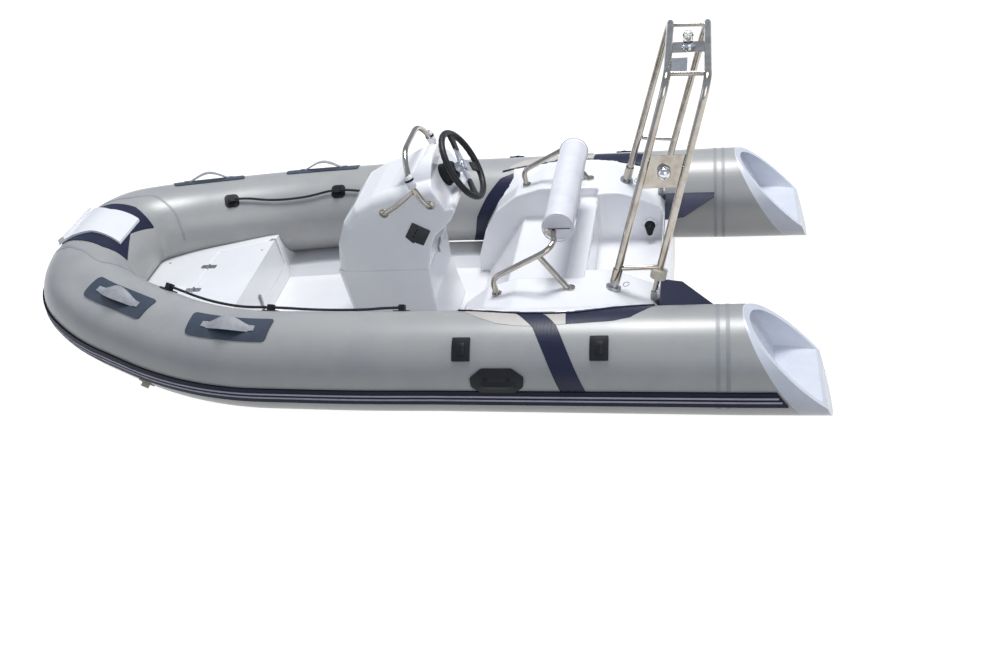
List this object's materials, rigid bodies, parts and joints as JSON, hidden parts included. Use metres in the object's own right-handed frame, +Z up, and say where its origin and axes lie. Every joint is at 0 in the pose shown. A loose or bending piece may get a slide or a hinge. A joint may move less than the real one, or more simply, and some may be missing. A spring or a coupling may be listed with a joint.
{
  "type": "inflatable rib boat",
  "caption": "Small rigid inflatable boat with a tilting steering console, seat with back roll, bow locker and a folding stern arch.",
  "frame": {"origin": "on the waterline, on the centreline, below the after end of the tube's top seam", "axes": "+X to the bow, +Y to port, +Z up"},
  "size_m": [3.6505, 1.994, 1.5085],
  "materials": {
    "tube_fabric": "smooth coated fabric, slight sheen",
    "cap_plastic": "smooth moulded plastic",
    "strake_rubber": "satin rubber",
    "gelcoat": "polished gelcoat",
    "navy_fabric": "coated fabric",
    "stainless": "satin stainless steel",
    "polished_steel": "polished stainless steel",
    "black_rubber": "matte rubber",
    "slate_rubber": "matte rubber",
    "beige_rubber": "matte rubber",
    "black_plastic": "matte plastic",
    "black_rope": "braided cord",
    "vinyl": "smooth marine vinyl",
    "aluminium": "satin aluminium",
    "chrome": "mirror chrome",
    "ivory_plastic": "moulded plastic"
  },
  "bodies": {
    "boat": {"collar_tube": "tube_fabric", "end_caps": "cap_plastic", "rubbing_strake": "strake_rubber", "hull": "gelcoat", "deck_liner": "gelcoat", "transom": "gelcoat", "gussets": "navy_fabric", "foredeck": "gelcoat", "deck_hinge_leaves": "stainless", "locker_keeper": "stainless", "console_base": "gelcoat", "console_hinge_base": "stainless", "console_keeper": "stainless", "stern_moulding": "gelcoat", "cable_boot": "black_rubber", "seat_rail": "polished_steel", "back_roll": "vinyl", "arch_feet_forward": "stainless", "arch_hinges_aft": "stainless", "rope_holders": "black_rubber", "lifeline_port": "black_rope", "lifeline_starboard": "black_rope", "side_grabs": "black_rubber", "side_fittings": "black_rubber", "tow_patches": "beige_rubber", "bow_pad": "navy_fabric", "bow_plate": "gelcoat", "bow_eye": "stainless", "carry_handles_aft": "slate_rubber", "carry_handles_forward": "slate_rubber"},
    "wheel": {"steering_wheel": "black_rubber", "wheel_hub": "aluminium"},
    "console_upper": {"console_top": "gelcoat", "console_hinge_top": "stainless", "console_latch": "stainless", "socket_panel": "black_plastic", "helm_bezel": "black_plastic", "grab_hoop": "polished_steel", "hoop_sleeves": "vinyl"},
    "hatch": {"locker_hatch": "gelcoat", "hatch_hinge_leaves": "stainless", "locker_latch": "stainless"},
    "arch": {"arch_hoop_forward": "polished_steel", "arch_hoop_aft": "polished_steel", "arch_clamps": "ivory_plastic", "arch_rungs": "polished_steel", "arch_side_panel": "polished_steel", "panel_ball": "chrome", "light_plate": "polished_steel", "aerial_plate": "stainless", "mast_light": "ivory_plastic"}
  },
  "joints": [
    {"name": "console_tilt", "type": "hinge", "parent": "boat", "child": "console_upper", "pos_m": [1.8213, 0, 0.372], "axis": [0, 1, 0], "range_deg": [0, 80]},
    {"name": "steering", "type": "hinge", "parent": "console_upper", "child": "wheel", "pos_m": [1.21, 0, 0.788], "axis": [-0.8829, 0, 0.4695], "range_deg": [-540, 540]},
    {"name": "hatch_hinge", "type": "hinge", "parent": "boat", "child": "hatch", "pos_m": [2.6045, 0, 0.228], "axis": [0, 1, 0], "range_deg": [0, 100]},
    {"name": "arch_fold", "type": "hinge", "parent": "boat", "child": "arch", "pos_m": [0.355, 0, 0.392], "axis": [0, -1, 0], "range_deg": [0, 75]}
  ]
}
